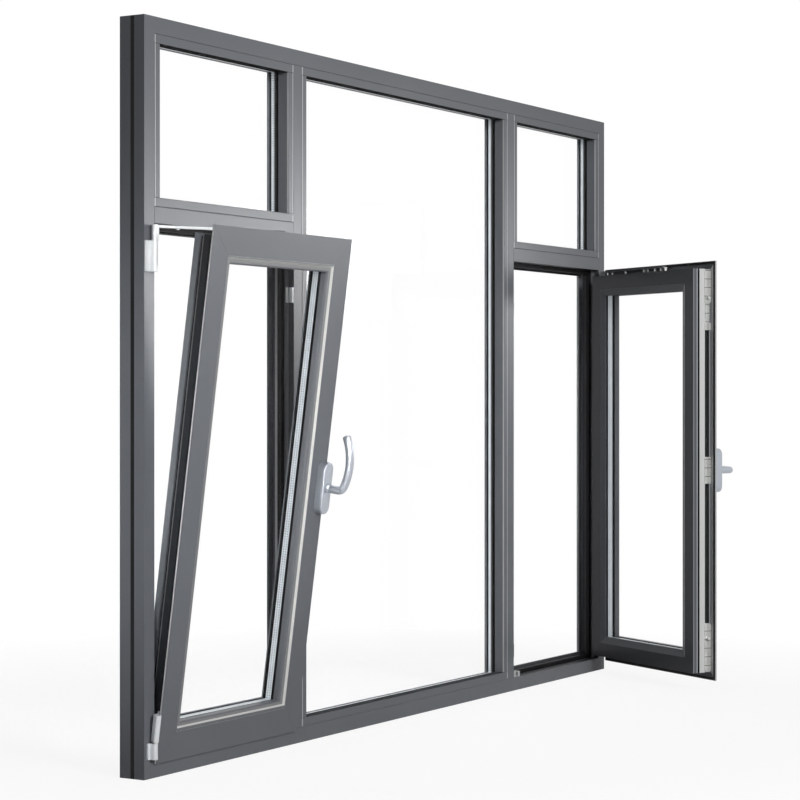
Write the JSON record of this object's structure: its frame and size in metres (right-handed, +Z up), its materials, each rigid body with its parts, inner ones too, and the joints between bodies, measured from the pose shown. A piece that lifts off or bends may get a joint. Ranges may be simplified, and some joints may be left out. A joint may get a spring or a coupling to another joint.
{
  "type": "aluminium window with tilted and turned sashes",
  "caption": "Grey thermally broken aluminium window with fixed lights, one sash tilted in and one turned open, double glazing, lever handles and tilt-and-turn hinges.",
  "frame": {"origin": "middle of the sill's underside, at mid length and mid depth of the frame", "axes": "+X along the window, +Y out of the building, +Z up; the room is on the -Y side"},
  "size_m": [2.28, 0.5831, 1.65],
  "materials": {
    "profile": "satin powder coat",
    "glass": "clear",
    "spacer": "mill",
    "gasket": "matte",
    "hinge": "silver coat",
    "hardware": "zinc plated",
    "handle": "satin anodised"
  },
  "bodies": {
    "root": {"bay_seals": "gasket", "centre_beads": "profile", "fixed_gaskets": "gasket", "fixed_panes": "glass", "fixed_spacers": "spacer", "frame_head": "profile", "frame_left_jamb": "profile", "frame_right_jamb": "profile", "frame_sill": "profile", "keepers": "hardware", "left_corner_bearing": "hinge", "left_handle_base": "handle", "left_handle_lever": "handle", "left_lock_gear": "hardware", "left_mullion": "profile", "left_sash_beads": "profile", "left_sash_bottom_rail": "profile", "left_sash_gaskets": "gasket", "left_sash_hinge": "hinge", "left_sash_hinge_stile": "profile", "left_sash_lock_stile": "profile", "left_sash_panes": "glass", "left_sash_spacer": "spacer", "left_sash_top_rail": "profile", "left_stay_arm": "hinge", "left_stay_bearing": "hinge", "left_top_beads": "profile", "left_transom": "profile", "right_corner_bearing": "hinge", "right_handle_base": "handle", "right_handle_lever": "handle", "right_lock_gear": "hardware", "right_mullion": "profile", "right_sash_beads": "profile", "right_sash_bottom_rail": "profile", "right_sash_gaskets": "gasket", "right_sash_hinge": "hinge", "right_sash_hinge_stile": "profile", "right_sash_lock_stile": "profile", "right_sash_panes": "glass", "right_sash_spacer": "spacer", "right_sash_top_rail": "profile", "right_stay_arm": "hinge", "right_stay_bearing": "hinge", "right_top_beads": "profile", "right_transom": "profile"}
  },
  "joints": []
}
